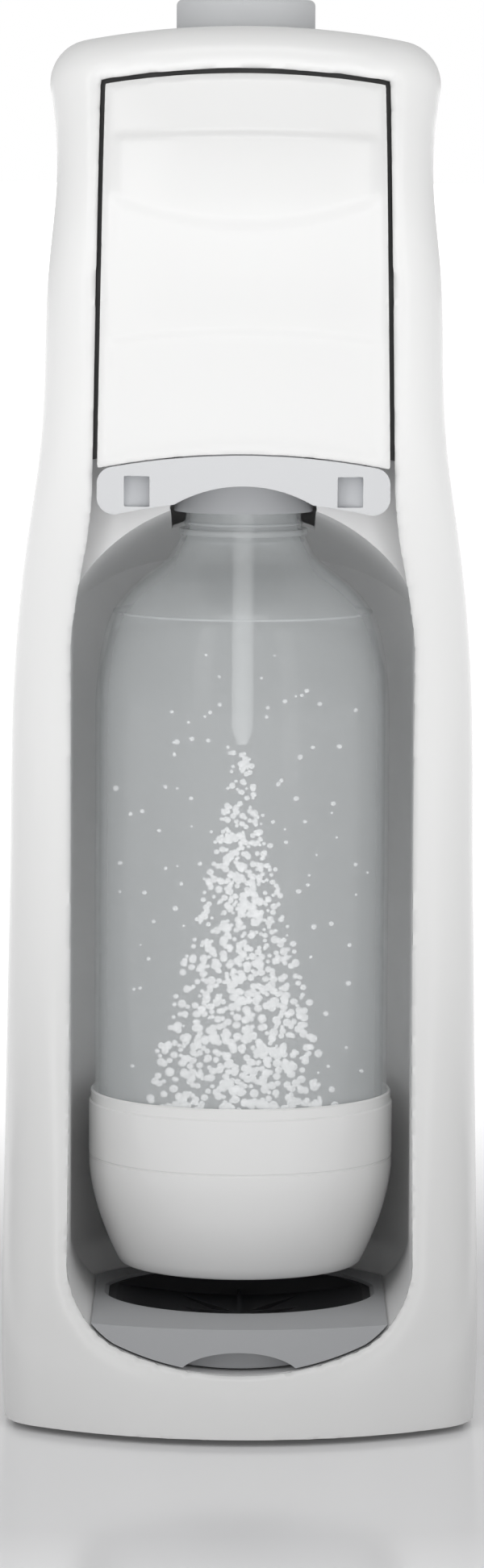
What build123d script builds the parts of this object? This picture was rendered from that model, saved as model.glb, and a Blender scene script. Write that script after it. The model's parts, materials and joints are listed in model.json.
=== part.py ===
from build123d import *
import math
import os

# Soda carbonator. +X right, front towards -Y, +Z up, origin at the bottom centre. Millimetres.

# ---- driving dimensions -------------------------------------------------------------------
foot_height = 2.0  # the rubber feet hold the housing this far off the table
deck_z = 34.0  # top of the drip tray
head_bottom_z = 267.0  # lower edge of the head
crown_z = 412.0  # highest point of the housing
bottle_y = -28.0
bottle_radius = 44.0
neck_radius = 17.2
cylinder_radius = 30.0
crown_radius = 253.0
roof_round = 13.0

wall = 3.0
cover_wall = 2.5
skin_gap = 0.3  # between the inner mouldings and the housing
seam = 0.6  # visible joint between two housing pieces
running_fit = 0.05
contact_gap = 0.3
screw_radius = 1.4

# bottle, screwed to the holder
bottle_wall = 1.2
neck_wall = 1.5
mouth_z = head_bottom_z + 16.0
cup_bottom_z = deck_z + 8.9
cup_height = 52.6
cup_wall = 1.4
neck_ring_z = mouth_z - 21.0

# bay that the bottle stands in
bay_half_width = bottle_radius + cup_wall + 5.3
liner_wall = 2.0
sump_wall = 3.0
sump_top_z = deck_z + 18.0
tray_clearance = 0.8
tray_recess_radius = bottle_radius - 3.0
tray_depth = 13.2
tray_wall = 2.0
tray_insert_wall = 1.4

# outer form, round the bay and the cylinder behind it
cylinder_y = bottle_y + bay_half_width + sump_wall + cylinder_radius + 1.3
back_y = cylinder_y + cylinder_radius + 13.0
front_y = bottle_y - bay_half_width - 21.0  # foremost point of the base
waist_front_y = bottle_y - 32.0
head_front_y = bottle_y - 62.5
face_half_width = bay_half_width - 7.1
base_half_width = bay_half_width + 19.8
waist_half_width = bay_half_width + 18.4
head_half_width = face_half_width + 15.1
crown_half_width = face_half_width + 9.0
split_y = cylinder_y - 12.0  # front frame in front of it, rear cover behind it

# head
face_top_z = crown_z - 12.4
face_gap = 1.3
face_corner = 12.0
lip_top_z = head_bottom_z + 21.4
lip_side_z = head_bottom_z + 16.0
lip_bottom_z = head_bottom_z + 2.0
arch_half_width = 20.5
arch_top_z = head_bottom_z + 12.3
lip_rise = 6.0  # how much higher the lip's lower edge is in the middle than at its sides
lip_corner = 5.0
window_width = 7.4
window_height = 9.0
window_x = face_half_width - 12.6

holder_radius = neck_radius + 3.4
holder_top_z = mouth_z + 39.0
holder_bore_clearance = 0.5
trunnion_z = mouth_z + 22.0
trunnion_radius = 4.0
bush_radius = 6.0
tube_radius = 3.25
tube_tip_z = mouth_z - 84.0

chassis_z = crown_z - 66.0
chassis_thickness = 3.0
cheek_inner_x = holder_radius + 7.4
cheek_thickness = 3.0

# gas cylinder and valve
cylinder_bottom_z = 14.0
cylinder_wall = 3.0
valve_hex_radius = 14.0
valve_thread_radius = 10.5
valve_pin_radius = 2.5

# button and lever
button_top_z = crown_z + 8.0
button_y = bottle_y + 8.0
button_half_width = 20.5
button_half_depth = 26.0
button_wall = 2.5
button_gap = 0.5
stem_radius = 5.0
stem_gap = 0.6  # the stem's heel must clear the lever at the end of its stroke
stem_y = button_y + 5.0
lever_pin_y = cylinder_y + 27.0
lever_pin_z = crown_z - 24.0
lever_pin_radius = 2.5
lever_half_width = 7.0
lever_bottom_z = crown_z - 27.0
lever_thickness = 6.0

# rear cover
cover_bottom_z = 6.0
cover_hinge_y = back_y - 11.5
cover_hinge_z = 10.0
cover_hinge_radius = 2.0
ear_radius = 3.8
latch_z = crown_z - 82.0

base_plate_top_z = 5.7


# ---- outer form -----------------------------------------------------------------------------
def stations(inset):
    """Rows of height, half width, front y and front bow, from the sole to above the crown."""
    sole = foot_height
    knee = deck_z + 92.5
    hip = head_bottom_z - 55.0
    rows = [
        (sole, base_half_width - 1.0, front_y + 0.4, 27),
        (sole + 20, base_half_width, front_y, 27),
        (deck_z + 17.5, base_half_width, front_y + 9, 25),
        (deck_z + 52.5, base_half_width - 0.3, front_y + 26, 20),
        (knee, base_half_width - 0.7, waist_front_y - 2.5, 16),
        ((knee + hip) / 2, waist_half_width, waist_front_y, 15),
        (hip, waist_half_width - 0.7, waist_front_y - 2.5, 15),
        (hip + 26, waist_half_width - 2.5, waist_front_y - 9, 15),
        (head_bottom_z - 5, head_half_width + 4.9, head_front_y + 12.5, 14.5),
        (head_bottom_z + 17, head_half_width + 1.5, head_front_y + 5, 14),
        (head_bottom_z + 33, head_half_width, head_front_y + 2, 13.5),
        (crown_z - 72, head_half_width - 1.5, head_front_y, 13),
        (crown_z - 32, crown_half_width + 2.4, head_front_y + 1.5, 12.5),
        (crown_z + 8, crown_half_width, head_front_y + 5.5, 12),
    ]
    return [(z, w - inset, y + inset, bow) for z, w, y, bow in rows]


def form(inset=0.0, floor=foot_height):
    """The housing's outer form as a solid, set in by the inset, standing on the floor height."""
    rear_bow = 12.0
    with BuildPart() as body:
        for number, (z, w, y, bow) in enumerate(stations(inset)):
            rise = max(0.0, z - 250.0) / 170.0
            back = back_y - inset - 6.0 * rise**2
            height = floor if number == 0 else z
            corner = 22.0 if z < deck_z + 60 else 17.0
            with BuildSketch(Plane.XY.offset(height)) as section:
                with BuildLine():
                    ThreePointArc((-w, y + bow), (0, y), (w, y + bow))
                    Line((w, y + bow), (w, back - rear_bow))
                    ThreePointArc((w, back - rear_bow), (0, back), (-w, back - rear_bow))
                    Line((-w, back - rear_bow), (-w, y + bow))
                make_face()
                fillet(section.vertices().sort_by(Axis.Y)[:2], corner - inset)
                fillet(section.vertices().sort_by(Axis.Y)[-2:], 24.0 - inset)
        loft()
        top = crown_z - inset
        drop = crown_radius - math.sqrt(crown_radius**2 - 80.0**2)
        with BuildSketch(Plane.XZ):
            with BuildLine():
                ThreePointArc((-80, top - drop), (0, top), (80, top - drop))
                Line((80, top - drop), (80, floor - 1))
                Line((80, floor - 1), (-80, floor - 1))
                Line((-80, floor - 1), (-80, top - drop))
            make_face()
        extrude(amount=back_y + 60, both=True, mode=Mode.INTERSECT)
        fillet(body.faces().sort_by(Axis.Z)[-1].edges(), roof_round - inset)
    return body.part


outer = form()
inner = form(wall, floor=foot_height - 3)
fitting = form(wall + skin_gap)  # everything inside the housing stays within this
seal_thickness = 1.5
behind_seal = form(wall + 2 * skin_gap + seal_thickness)
face_inner = form(cover_wall)


def bay_section(grow=0.0):
    """Front section of the lower bay, a rounded hollow, moved outwards by the growth."""
    half = bay_half_width
    side = 13.7
    with BuildSketch(Plane.XZ.offset(130)) as section:
        with BuildLine():
            Line((half, sump_top_z), (-half, sump_top_z))
            Line((-half, sump_top_z), (-half, deck_z + 15.5))
            ThreePointArc(
                (-half, deck_z + 15.5),
                (-half + 4.6, deck_z + 2.1),
                (-half + side, deck_z - tray_depth + 7.2),
            )
            ThreePointArc(
                (-half + side, deck_z - tray_depth + 7.2),
                (0, deck_z - tray_depth),
                (half - side, deck_z - tray_depth + 7.2),
            )
            ThreePointArc(
                (half - side, deck_z - tray_depth + 7.2),
                (half - 4.6, deck_z + 2.1),
                (half, deck_z + 15.5),
            )
            Line((half, deck_z + 15.5), (half, sump_top_z))
        make_face()
        if grow:
            offset(amount=grow)
    return section.sketch


def bay_hollow(grow=0.0):
    """Lower bay: the round front section run back along Y, as a solid."""
    with BuildPart() as hollow:
        extrude(to_extrude=bay_section(grow), amount=-190 - grow)
    return hollow.part


def bay_plan(grow=0.0):
    """Plan of the bay, open to the front and round behind the bottle."""
    half = bay_half_width + grow
    with BuildSketch() as plan:
        Rectangle(2 * half, 200, align=(Align.CENTER, Align.MAX))
        Circle(half)
    return plan.sketch.moved(Location((0, bottle_y, 0)))


def head_outline(grow=0.0):
    """Outline of the face opening in the front of the head, moved outwards by the growth."""
    low = face_half_width + 0.6
    high = face_half_width - 1.8
    side_top = face_top_z - 3.4
    with BuildSketch(Plane.XZ.offset(130)) as face:
        with BuildLine():
            Line((-low, lip_bottom_z - 3), (-high, side_top))
            ThreePointArc((-high, side_top), (0, face_top_z), (high, side_top))
            Line((high, side_top), (low, lip_bottom_z - 3))
            Line((low, lip_bottom_z - 3), (-low, lip_bottom_z - 3))
        make_face()
        fillet(face.vertices().filter_by(lambda v: v.Z > lip_bottom_z + 20), face_corner)
        if grow:
            offset(amount=grow)
    return face.sketch


def lip_region(rise=0.0):
    """Side view limits of the lip: below a shallow arc across the face."""
    with BuildSketch(Plane.XZ.offset(130)) as region:
        with BuildLine():
            ThreePointArc((-60, lip_side_z - 4 + rise), (0, lip_top_z + rise), (60, lip_side_z - 4 + rise))
            Line((60, lip_side_z - 4 + rise), (60, lip_bottom_z - 40))
            Line((60, lip_bottom_z - 40), (-60, lip_bottom_z - 40))
            Line((-60, lip_bottom_z - 40), (-60, lip_side_z - 4 + rise))
        make_face()
    return region.sketch


# ---- housing --------------------------------------------------------------------------------
with BuildPart() as front_frame:
    add(outer)
    add(inner, mode=Mode.SUBTRACT)
    with BuildSketch(Plane.XY.offset(-10)):
        with Locations((0, split_y - seam / 2)):
            Rectangle(200, 120, align=(Align.CENTER, Align.MIN))
    extrude(amount=460, mode=Mode.SUBTRACT)
    extrude(to_extrude=head_outline(), amount=-80, mode=Mode.SUBTRACT)
    with BuildSketch(Plane.XZ.offset(130)):
        with BuildLine():
            Line((-bay_half_width, sump_top_z), (-bay_half_width, head_bottom_z - 42))
            Spline(
                (-bay_half_width, head_bottom_z - 42),
                (-face_half_width - 0.6, lip_bottom_z + 6),
                tangents=[(0, 1), (0.05, 1)],
            )
            Line((-face_half_width - 0.6, lip_bottom_z + 6), (face_half_width + 0.6, lip_bottom_z + 6))
            Spline(
                (face_half_width + 0.6, lip_bottom_z + 6),
                (bay_half_width, head_bottom_z - 42),
                tangents=[(0.05, -1), (0, -1)],
            )
            Line((bay_half_width, head_bottom_z - 42), (bay_half_width, sump_top_z))
            Line((bay_half_width, sump_top_z), (-bay_half_width, sump_top_z))
        make_face()
    extrude(amount=-100, mode=Mode.SUBTRACT)
    extrude(to_extrude=bay_section(), amount=-100, mode=Mode.SUBTRACT)
    with BuildSketch(Plane.XY.offset(crown_z - 20)):
        with Locations((0, button_y)):
            RectangleRounded(
                2 * (button_half_width + button_gap),
                2 * (button_half_depth + button_gap),
                button_half_width - 2,
            )
    extrude(amount=40, mode=Mode.SUBTRACT)
front_frame.part.label = "front_frame"

with BuildPart() as rear_cover:
    add(outer)
    add(inner, mode=Mode.SUBTRACT)
    with BuildSketch(Plane.XY.offset(-10)):
        with Locations((0, split_y + seam / 2)):
            Rectangle(200, 220, align=(Align.CENTER, Align.MAX))
    extrude(amount=460, mode=Mode.SUBTRACT)
    with BuildSketch(Plane.XY.offset(-10)):
        Rectangle(300, 300)
    extrude(amount=10 + cover_bottom_z, mode=Mode.SUBTRACT)
    # two knuckles that turn on the hinge rod
    with BuildSketch(Plane.YZ.offset(-30)) as knuckle:
        with BuildLine():
            Line((cover_hinge_y, cover_hinge_z - 4), (back_y - 2.5, cover_hinge_z - 4))
            Line((back_y - 2.5, cover_hinge_z - 4), (back_y - 2.5, cover_hinge_z + 4))
            Line((back_y - 2.5, cover_hinge_z + 4), (cover_hinge_y, cover_hinge_z + 4))
            ThreePointArc(
                (cover_hinge_y, cover_hinge_z + 4),
                (cover_hinge_y - 4, cover_hinge_z),
                (cover_hinge_y, cover_hinge_z - 4),
            )
        make_face()
        with Locations((cover_hinge_y, cover_hinge_z)):
            Circle(cover_hinge_radius + running_fit, mode=Mode.SUBTRACT)
    extrude(amount=10)
    extrude(to_extrude=knuckle.sketch.moved(Location((50, 0, 0))), amount=10)
    # window for the latch button, and its guide inside
    with BuildSketch(Plane.XZ.offset(-back_y - 10)):
        with Locations((0, latch_z)):
            RectangleRounded(24.8, 12.8, 4.4)
    extrude(amount=25, mode=Mode.SUBTRACT)
rear_cover.part.label = "rear_cover"

with BuildPart() as cover_latch:
    with BuildSketch(Plane.XZ.offset(-back_y - 10)):
        with Locations((0, latch_z)):
            RectangleRounded(24.0, 12.0, 4.0)
    extrude(amount=19)
    add(form(-0.8), mode=Mode.INTERSECT)
    with BuildSketch(Plane.XZ.offset(-back_y + 8.5)):
        with Locations((0, latch_z)):
            RectangleRounded(28.0, 16.0, 5.0)
    extrude(amount=1.5)
cover_latch.part.label = "cover_latch"

with BuildPart() as bay_liner:
    with BuildSketch(Plane.XY.offset(sump_top_z)):
        add(bay_plan(liner_wall))
        add(bay_plan(), mode=Mode.SUBTRACT)
    extrude(amount=chassis_z - sump_top_z)
    # bosses for the chassis screws, inside the head
    boss_x = bay_half_width - 4.4
    boss_places = [(x, y) for x in (-boss_x, boss_x) for y in (bottle_y - 24, bottle_y + 12)]
    with BuildSketch(Plane.XY.offset(chassis_z - 26)):
        with Locations(*boss_places):
            Circle(5.0)
    extrude(amount=26)
    with BuildSketch(Plane.XY.offset(chassis_z - 14)):
        with Locations(*boss_places):
            Circle(screw_radius + running_fit)
    extrude(amount=14, mode=Mode.SUBTRACT)
    add(fitting, mode=Mode.INTERSECT)
bay_liner.part.label = "bay_liner"

base_screw_places = [(x, y) for x in (-28, 28) for y in (bottle_y - 32, bottle_y + 32)]
with BuildPart() as bay_sump:
    add(bay_hollow(sump_wall))
    with BuildSketch(Plane.XY):
        add(bay_plan(sump_wall))
    extrude(amount=sump_top_z, mode=Mode.INTERSECT)
    with BuildSketch(Plane.XY.offset(base_plate_top_z)):
        with Locations(*base_screw_places):
            Circle(4.5)
    extrude(amount=deck_z - 12 - base_plate_top_z)
    with BuildPart(mode=Mode.PRIVATE) as room:
        add(bay_hollow())
        with BuildSketch(Plane.XY):
            add(bay_plan())
        extrude(amount=sump_top_z + 1, mode=Mode.INTERSECT)
    add(room.part, mode=Mode.SUBTRACT)
    with BuildSketch(Plane.XY.offset(base_plate_top_z - 1)):
        with Locations(*base_screw_places):
            Circle(screw_radius + running_fit)
    extrude(amount=10, mode=Mode.SUBTRACT)
    add(fitting, mode=Mode.INTERSECT)
bay_sump.part.label = "bay_sump"

with BuildPart() as base_plate:
    add(fitting)
    with BuildSketch(Plane.XY.offset(base_plate_top_z)):
        Rectangle(300, 300)
    extrude(amount=500, mode=Mode.SUBTRACT)
    with BuildSketch(Plane.XY.offset(foot_height)):
        with Locations((0, cover_hinge_y - 5)):
            Rectangle(300, 60, align=(Align.CENTER, Align.MIN))
    extrude(amount=20, mode=Mode.SUBTRACT)
    # ears that hold the hinge rod
    with BuildSketch(Plane.YZ.offset(-36)) as ear:
        with BuildLine():
            Line((cover_hinge_y - 12, base_plate_top_z - 1), (cover_hinge_y - 5, base_plate_top_z - 1))
            Line((cover_hinge_y - 5, base_plate_top_z - 1), (cover_hinge_y, cover_hinge_z - ear_radius))
            ThreePointArc(
                (cover_hinge_y, cover_hinge_z - ear_radius),
                (cover_hinge_y + ear_radius, cover_hinge_z),
                (cover_hinge_y, cover_hinge_z + ear_radius),
            )
            Line((cover_hinge_y, cover_hinge_z + ear_radius), (cover_hinge_y - 12, base_plate_top_z - 1))
        make_face()
        with Locations((cover_hinge_y, cover_hinge_z)):
            Circle(cover_hinge_radius, mode=Mode.SUBTRACT)
    extrude(amount=5)
    extrude(to_extrude=ear.sketch.moved(Location((67, 0, 0))), amount=5)
    with BuildSketch(Plane.XY.offset(foot_height - 1)):
        with Locations(*base_screw_places):
            Circle(screw_radius + 0.3)
    extrude(amount=10, mode=Mode.SUBTRACT)
    with BuildSketch(Plane.XY.offset(foot_height - 1)):
        with Locations(*base_screw_places):
            Circle(3.2)
    extrude(amount=2.8, mode=Mode.SUBTRACT)
base_plate.part.label = "base_plate"

with BuildPart() as hinge_rod:
    with BuildSketch(Plane.YZ.offset(-36)):
        with Locations((cover_hinge_y, cover_hinge_z)):
            Circle(cover_hinge_radius)
    extrude(amount=72)
hinge_rod.part.label = "hinge_rod"

with BuildPart() as rubber_feet:
    with BuildSketch(Plane.XY):
        foot_x = base_half_width - 24.5
        with Locations(*[(x, y) for x in (-foot_x, foot_x) for y in (front_y + 41.7, back_y - 34)]):
            Circle(7.5)
    extrude(amount=foot_height)
    fillet(rubber_feet.faces().sort_by(Axis.Z)[0].edges(), 0.6)
rubber_feet.part.label = "rubber_feet"

with BuildPart() as base_screws:
    with BuildSketch(Plane.XY.offset(foot_height + 0.2)):
        with Locations(*base_screw_places):
            Circle(3.0)
    extrude(amount=1.6)
    with BuildSketch(Plane.XY.offset(foot_height + 0.2)):
        with Locations(*base_screw_places):
            Circle(screw_radius)
    extrude(amount=11)
base_screws.part.label = "base_screws"

# ---- face of the head -----------------------------------------------------------------------
with BuildPart() as head_cover:
    add(outer)
    add(face_inner, mode=Mode.SUBTRACT)
    extrude(to_extrude=head_outline(-face_gap), amount=-80, mode=Mode.INTERSECT)
    extrude(to_extrude=lip_region(contact_gap), amount=-120, mode=Mode.SUBTRACT)
head_cover.part.label = "head_cover"

with BuildPart() as head_lip:
    with BuildSketch(Plane.XZ.offset(130)) as lip_face:
        add(head_outline(-face_gap))
        add(lip_region(), mode=Mode.INTERSECT)
        with BuildLine():
            ThreePointArc(
                (-60, lip_bottom_z - lip_rise),
                (0, lip_bottom_z + lip_rise),
                (60, lip_bottom_z - lip_rise),
            )
            Line((60, lip_bottom_z - lip_rise), (60, lip_bottom_z - 40))
            Line((60, lip_bottom_z - 40), (-60, lip_bottom_z - 40))
            Line((-60, lip_bottom_z - 40), (-60, lip_bottom_z - lip_rise))
        make_face(mode=Mode.SUBTRACT)
        fillet(lip_face.vertices().group_by(Axis.Z)[0], lip_corner)
        with BuildLine():
            ThreePointArc(
                (-arch_half_width, lip_bottom_z + lip_rise - 1.5),
                (0, arch_top_z),
                (arch_half_width, lip_bottom_z + lip_rise - 1.5),
            )
            Line((arch_half_width, lip_bottom_z + lip_rise - 1.5), (arch_half_width, lip_bottom_z - 40))
            Line((arch_half_width, lip_bottom_z - 40), (-arch_half_width, lip_bottom_z - 40))
            Line((-arch_half_width, lip_bottom_z - 40), (-arch_half_width, lip_bottom_z + lip_rise - 1.5))
        make_face(mode=Mode.SUBTRACT)
        with Locations((-window_x, lip_bottom_z + 8.5), (window_x, lip_bottom_z + 8.5)):
            Rectangle(window_width, window_height, mode=Mode.SUBTRACT)
    extrude(amount=-80)
    add(outer, mode=Mode.INTERSECT)
    add(face_inner, mode=Mode.SUBTRACT)
head_lip.part.label = "head_lip"

with BuildPart() as face_seal:
    add(fitting)
    add(form(wall + skin_gap + seal_thickness), mode=Mode.SUBTRACT)
    extrude(to_extrude=head_outline(4.0), amount=-80, mode=Mode.INTERSECT)
    extrude(to_extrude=head_outline(-6.0), amount=-120, mode=Mode.SUBTRACT)
    extrude(to_extrude=lip_region(3.0), amount=-120, mode=Mode.SUBTRACT)
face_seal.part.label = "face_seal"

with BuildPart() as bay_ceiling:
    with BuildSketch(Plane.XY.offset(lip_top_z)):
        add(bay_plan(-skin_gap))
    extrude(amount=2)
    with BuildSketch(Plane.XY.offset(lip_top_z - 1)):
        with Locations((0, bottle_y)):
            Rectangle(2 * holder_radius + 5, 44, align=(Align.CENTER, Align.MAX))
            Circle(holder_radius + 2.5)
    extrude(amount=6, mode=Mode.SUBTRACT)
    add(behind_seal, mode=Mode.INTERSECT)
bay_ceiling.part.label = "bay_ceiling"

# ---- chassis and bottle holder ----------------------------------------------------------------
chassis_top_z = chassis_z + chassis_thickness
trunnion_in_x = 12.0
trunnion_out_x = cheek_inner_x + cheek_thickness + 2.0
hose_x = -trunnion_out_x - 6.0
with BuildPart() as head_chassis:
    with BuildSketch(Plane.XY.offset(chassis_z)):
        with Locations((0, bottle_y + 20)):
            Rectangle(2 * (bay_half_width + liner_wall), 77, align=(Align.CENTER, Align.MAX))
            Rectangle(62, 90, align=(Align.CENTER, Align.MIN))
        with Locations(*boss_places):
            Circle(screw_radius + 0.3, mode=Mode.SUBTRACT)
        with Locations((0, cylinder_y)):
            Circle(valve_thread_radius + 4, mode=Mode.SUBTRACT)
        with Locations((hose_x, bottle_y + 6)):
            RectangleRounded(9, 22, 4, mode=Mode.SUBTRACT)
    extrude(amount=chassis_thickness)
    for side in (-1, 1):
        with BuildSketch(Plane.YZ.offset(side * cheek_inner_x)):
            with BuildLine():
                Line((bottle_y - 18, chassis_z + 1), (bottle_y - 11, trunnion_z))
                ThreePointArc(
                    (bottle_y - 11, trunnion_z),
                    (bottle_y, trunnion_z - 11),
                    (bottle_y + 11, trunnion_z),
                )
                Line((bottle_y + 11, trunnion_z), (bottle_y + 18, chassis_z + 1))
                Line((bottle_y + 18, chassis_z + 1), (bottle_y - 18, chassis_z + 1))
            make_face()
            with Locations((bottle_y, trunnion_z)):
                Circle(bush_radius + running_fit, mode=Mode.SUBTRACT)
        extrude(amount=side * cheek_thickness)
    add(behind_seal, mode=Mode.INTERSECT)
head_chassis.part.label = "head_chassis"

with BuildPart() as chassis_screws:
    with BuildSketch(Plane.XY.offset(chassis_top_z)):
        with Locations(*boss_places):
            Circle(3.0)
    extrude(amount=2.0)
    with BuildSketch(Plane.XY.offset(chassis_z - 10)):
        with Locations(*boss_places):
            Circle(screw_radius)
    extrude(amount=chassis_thickness + 10)
chassis_screws.part.label = "chassis_screws"

with BuildPart() as trunnion_bushes:
    for side in (-1, 1):
        with BuildSketch(Plane.YZ.offset(side * cheek_inner_x)):
            with Locations((bottle_y, trunnion_z)):
                Circle(bush_radius)
                Circle(trunnion_radius + running_fit, mode=Mode.SUBTRACT)
        extrude(amount=side * cheek_thickness)
trunnion_bushes.part.label = "trunnion_bushes"

seat_z = mouth_z + 2.1
with BuildPart() as bottle_holder:
    with BuildSketch(Plane.XY.offset(lip_bottom_z)):
        with Locations((0, bottle_y)):
            Circle(holder_radius)
    extrude(amount=holder_top_z - lip_bottom_z)
    fillet(bottle_holder.faces().sort_by(Axis.Z)[-1].edges(), 3.0)
    with BuildSketch(Plane.XY.offset(lip_bottom_z)):
        with Locations((0, bottle_y)):
            Circle(neck_radius + holder_bore_clearance)
    extrude(amount=seat_z - lip_bottom_z, mode=Mode.SUBTRACT)
    with BuildSketch(Plane.XY.offset(lip_bottom_z)):
        with Locations((0, bottle_y)):
            Circle(tube_radius)
    extrude(amount=298 - lip_bottom_z, mode=Mode.SUBTRACT)
    for side in (-1, 1):
        with BuildSketch(Plane.YZ.offset(side * trunnion_in_x)):
            with Locations((bottle_y, trunnion_z)):
                Circle(trunnion_radius)
        extrude(amount=side * 20, mode=Mode.SUBTRACT)
    with BuildSketch(Plane.XY.offset(holder_top_z - 8)):
        with Locations((0, bottle_y)):
            Circle(5.0)
    extrude(amount=10, mode=Mode.SUBTRACT)
bottle_holder.part.label = "bottle_holder"

with BuildPart() as trunnion_pins:
    for side in (-1, 1):
        with BuildSketch(Plane.YZ.offset(side * trunnion_in_x)):
            with Locations((bottle_y, trunnion_z)):
                Circle(trunnion_radius)
        extrude(amount=side * (trunnion_out_x - trunnion_in_x))
trunnion_pins.part.label = "trunnion_pins"

with BuildPart() as carbonation_tube:
    with BuildSketch(Plane.XY.offset(tube_tip_z + 8)):
        with Locations((0, bottle_y)):
            Circle(tube_radius)
            Circle(tube_radius - 1.2, mode=Mode.SUBTRACT)
    extrude(amount=298 - tube_tip_z - 8)
carbonation_tube.part.label = "carbonation_tube"

with BuildPart() as tube_tip:
    with BuildSketch(Plane.XZ.offset(-bottle_y)):
        with BuildLine():
            Line((0.5, tube_tip_z), (1.6, tube_tip_z))
            Line((1.6, tube_tip_z), (tube_radius, tube_tip_z + 5))
            Line((tube_radius, tube_tip_z + 5), (tube_radius, tube_tip_z + 8))
            Line((tube_radius, tube_tip_z + 8), (1.6, tube_tip_z + 8))
            Line((1.6, tube_tip_z + 8), (0.5, tube_tip_z + 4))
            Line((0.5, tube_tip_z + 4), (0.5, tube_tip_z))
        make_face()
    revolve(axis=Axis((0, bottle_y, 0), (0, 0, 1)))
tube_tip.part.label = "tube_tip"

with BuildPart() as bottle_seal:
    with BuildSketch(Plane.XY.offset(mouth_z + 0.1)):
        with Locations((0, bottle_y)):
            Circle(neck_radius - 0.4)
            Circle(8.0, mode=Mode.SUBTRACT)
    extrude(amount=1.9)
bottle_seal.part.label = "bottle_seal"

with BuildPart() as relief_valve_body:
    with BuildSketch(Plane.XY.offset(holder_top_z - 8)):
        with Locations((0, bottle_y)):
            Circle(5.0)
    extrude(amount=8)
    with BuildSketch(Plane.XY.offset(holder_top_z)):
        with Locations((0, bottle_y)):
            RegularPolygon(7.0, 6)
    extrude(amount=8)
    with BuildSketch(Plane.XY.offset(holder_top_z - 4)):
        with Locations((0, bottle_y)):
            Circle(3.0 + running_fit)
    extrude(amount=20, mode=Mode.SUBTRACT)
relief_valve_body.part.label = "relief_valve_body"

with BuildPart() as relief_poppet:
    with BuildSketch(Plane.XY.offset(holder_top_z - 3.8)):
        with Locations((0, bottle_y)):
            Circle(3.0)
    extrude(amount=13.8)
relief_poppet.part.label = "relief_poppet"

# ---- bottle ---------------------------------------------------------------------------------
bottle_plane = Plane(origin=(0, bottle_y, 0), x_dir=(1, 0, 0), z_dir=(0, -1, 0))
bottle_axis = Axis((0, bottle_y, 0), (0, 0, 1))
pet_bottom_z = cup_bottom_z + 1.7
heel_z = cup_bottom_z + 33.0
shoulder_z = mouth_z - 75.0
neck_low_z = mouth_z - 15.0


def bottle_side(shrink):
    """Side of the bottle from the heel to the mouth, set in by the shrink."""
    r = bottle_radius - shrink
    n = neck_radius - (neck_wall if shrink else 0.0)
    slope = neck_radius - bottle_radius
    return [
        (r, shoulder_z),
        (r + slope * 0.05, shoulder_z + 17),
        (r + slope * 0.2, shoulder_z + 31),
        (r + slope * 0.37, shoulder_z + 37),
        (r + slope * 0.58, shoulder_z + 42),
        (n + 4.0, shoulder_z + 48.3),
        (n + 1.5, shoulder_z + 53),
        (n, neck_low_z),
    ]


with BuildPart() as bottle:
    with BuildSketch(bottle_plane):
        with BuildLine():
            Line((0, pet_bottom_z), (bottle_radius - 8.9, pet_bottom_z))
            ThreePointArc(
                (bottle_radius - 8.9, pet_bottom_z),
                (bottle_radius - 3.4, pet_bottom_z + 14.3),
                (bottle_radius, heel_z),
            )
            Line((bottle_radius, heel_z), (bottle_radius, shoulder_z))
            Spline(*bottle_side(0.0), tangents=[(0, 1), (0, 1)])
            Line((neck_radius, neck_low_z), (neck_radius, mouth_z))
            Line((neck_radius, mouth_z), (neck_radius - neck_wall, mouth_z))
            Line((neck_radius - neck_wall, mouth_z), (neck_radius - neck_wall, neck_low_z))
            Spline(*reversed(bottle_side(bottle_wall)), tangents=[(0, -1), (0, -1)])
            Line((bottle_radius - bottle_wall, shoulder_z), (bottle_radius - bottle_wall, heel_z))
            ThreePointArc(
                (bottle_radius - bottle_wall, heel_z),
                (bottle_radius - 3.4 - bottle_wall, pet_bottom_z + 15.0),
                (bottle_radius - 8.9, pet_bottom_z + bottle_wall),
            )
            Line((bottle_radius - 8.9, pet_bottom_z + bottle_wall), (0, pet_bottom_z + bottle_wall))
            Line((0, pet_bottom_z + bottle_wall), (0, pet_bottom_z))
        make_face()
    revolve(axis=bottle_axis)
    with BuildSketch(Plane.XY.offset(neck_ring_z)):
        with Locations((0, bottle_y)):
            Circle(neck_radius + 1.9)
            Circle(neck_radius - 0.2, mode=Mode.SUBTRACT)
    extrude(amount=1.8)
bottle.part.label = "bottle"

cup_inner = bottle_radius + 0.1
cup_outer = cup_inner + cup_wall
with BuildPart() as base_cup:
    with BuildSketch(bottle_plane):
        with BuildLine():
            Line((0, cup_bottom_z), (cup_outer - 9.3, cup_bottom_z))
            ThreePointArc(
                (cup_outer - 9.3, cup_bottom_z),
                (cup_outer - 3.6, cup_bottom_z + 15.0),
                (cup_outer, heel_z),
            )
            Line((cup_outer, heel_z), (cup_outer, cup_bottom_z + cup_height))
            Line((cup_outer, cup_bottom_z + cup_height), (cup_inner, cup_bottom_z + cup_height))
            Line((cup_inner, cup_bottom_z + cup_height), (cup_inner, heel_z))
            ThreePointArc(
                (cup_inner, heel_z),
                (cup_inner - 3.4, pet_bottom_z + 14.3),
                (cup_inner - 8.9, pet_bottom_z - 0.1),
            )
            Line((cup_inner - 8.9, pet_bottom_z - 0.1), (0, pet_bottom_z - 0.1))
            Line((0, pet_bottom_z - 0.1), (0, cup_bottom_z))
        make_face()
    revolve(axis=bottle_axis)
base_cup.part.label = "base_cup"

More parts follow.
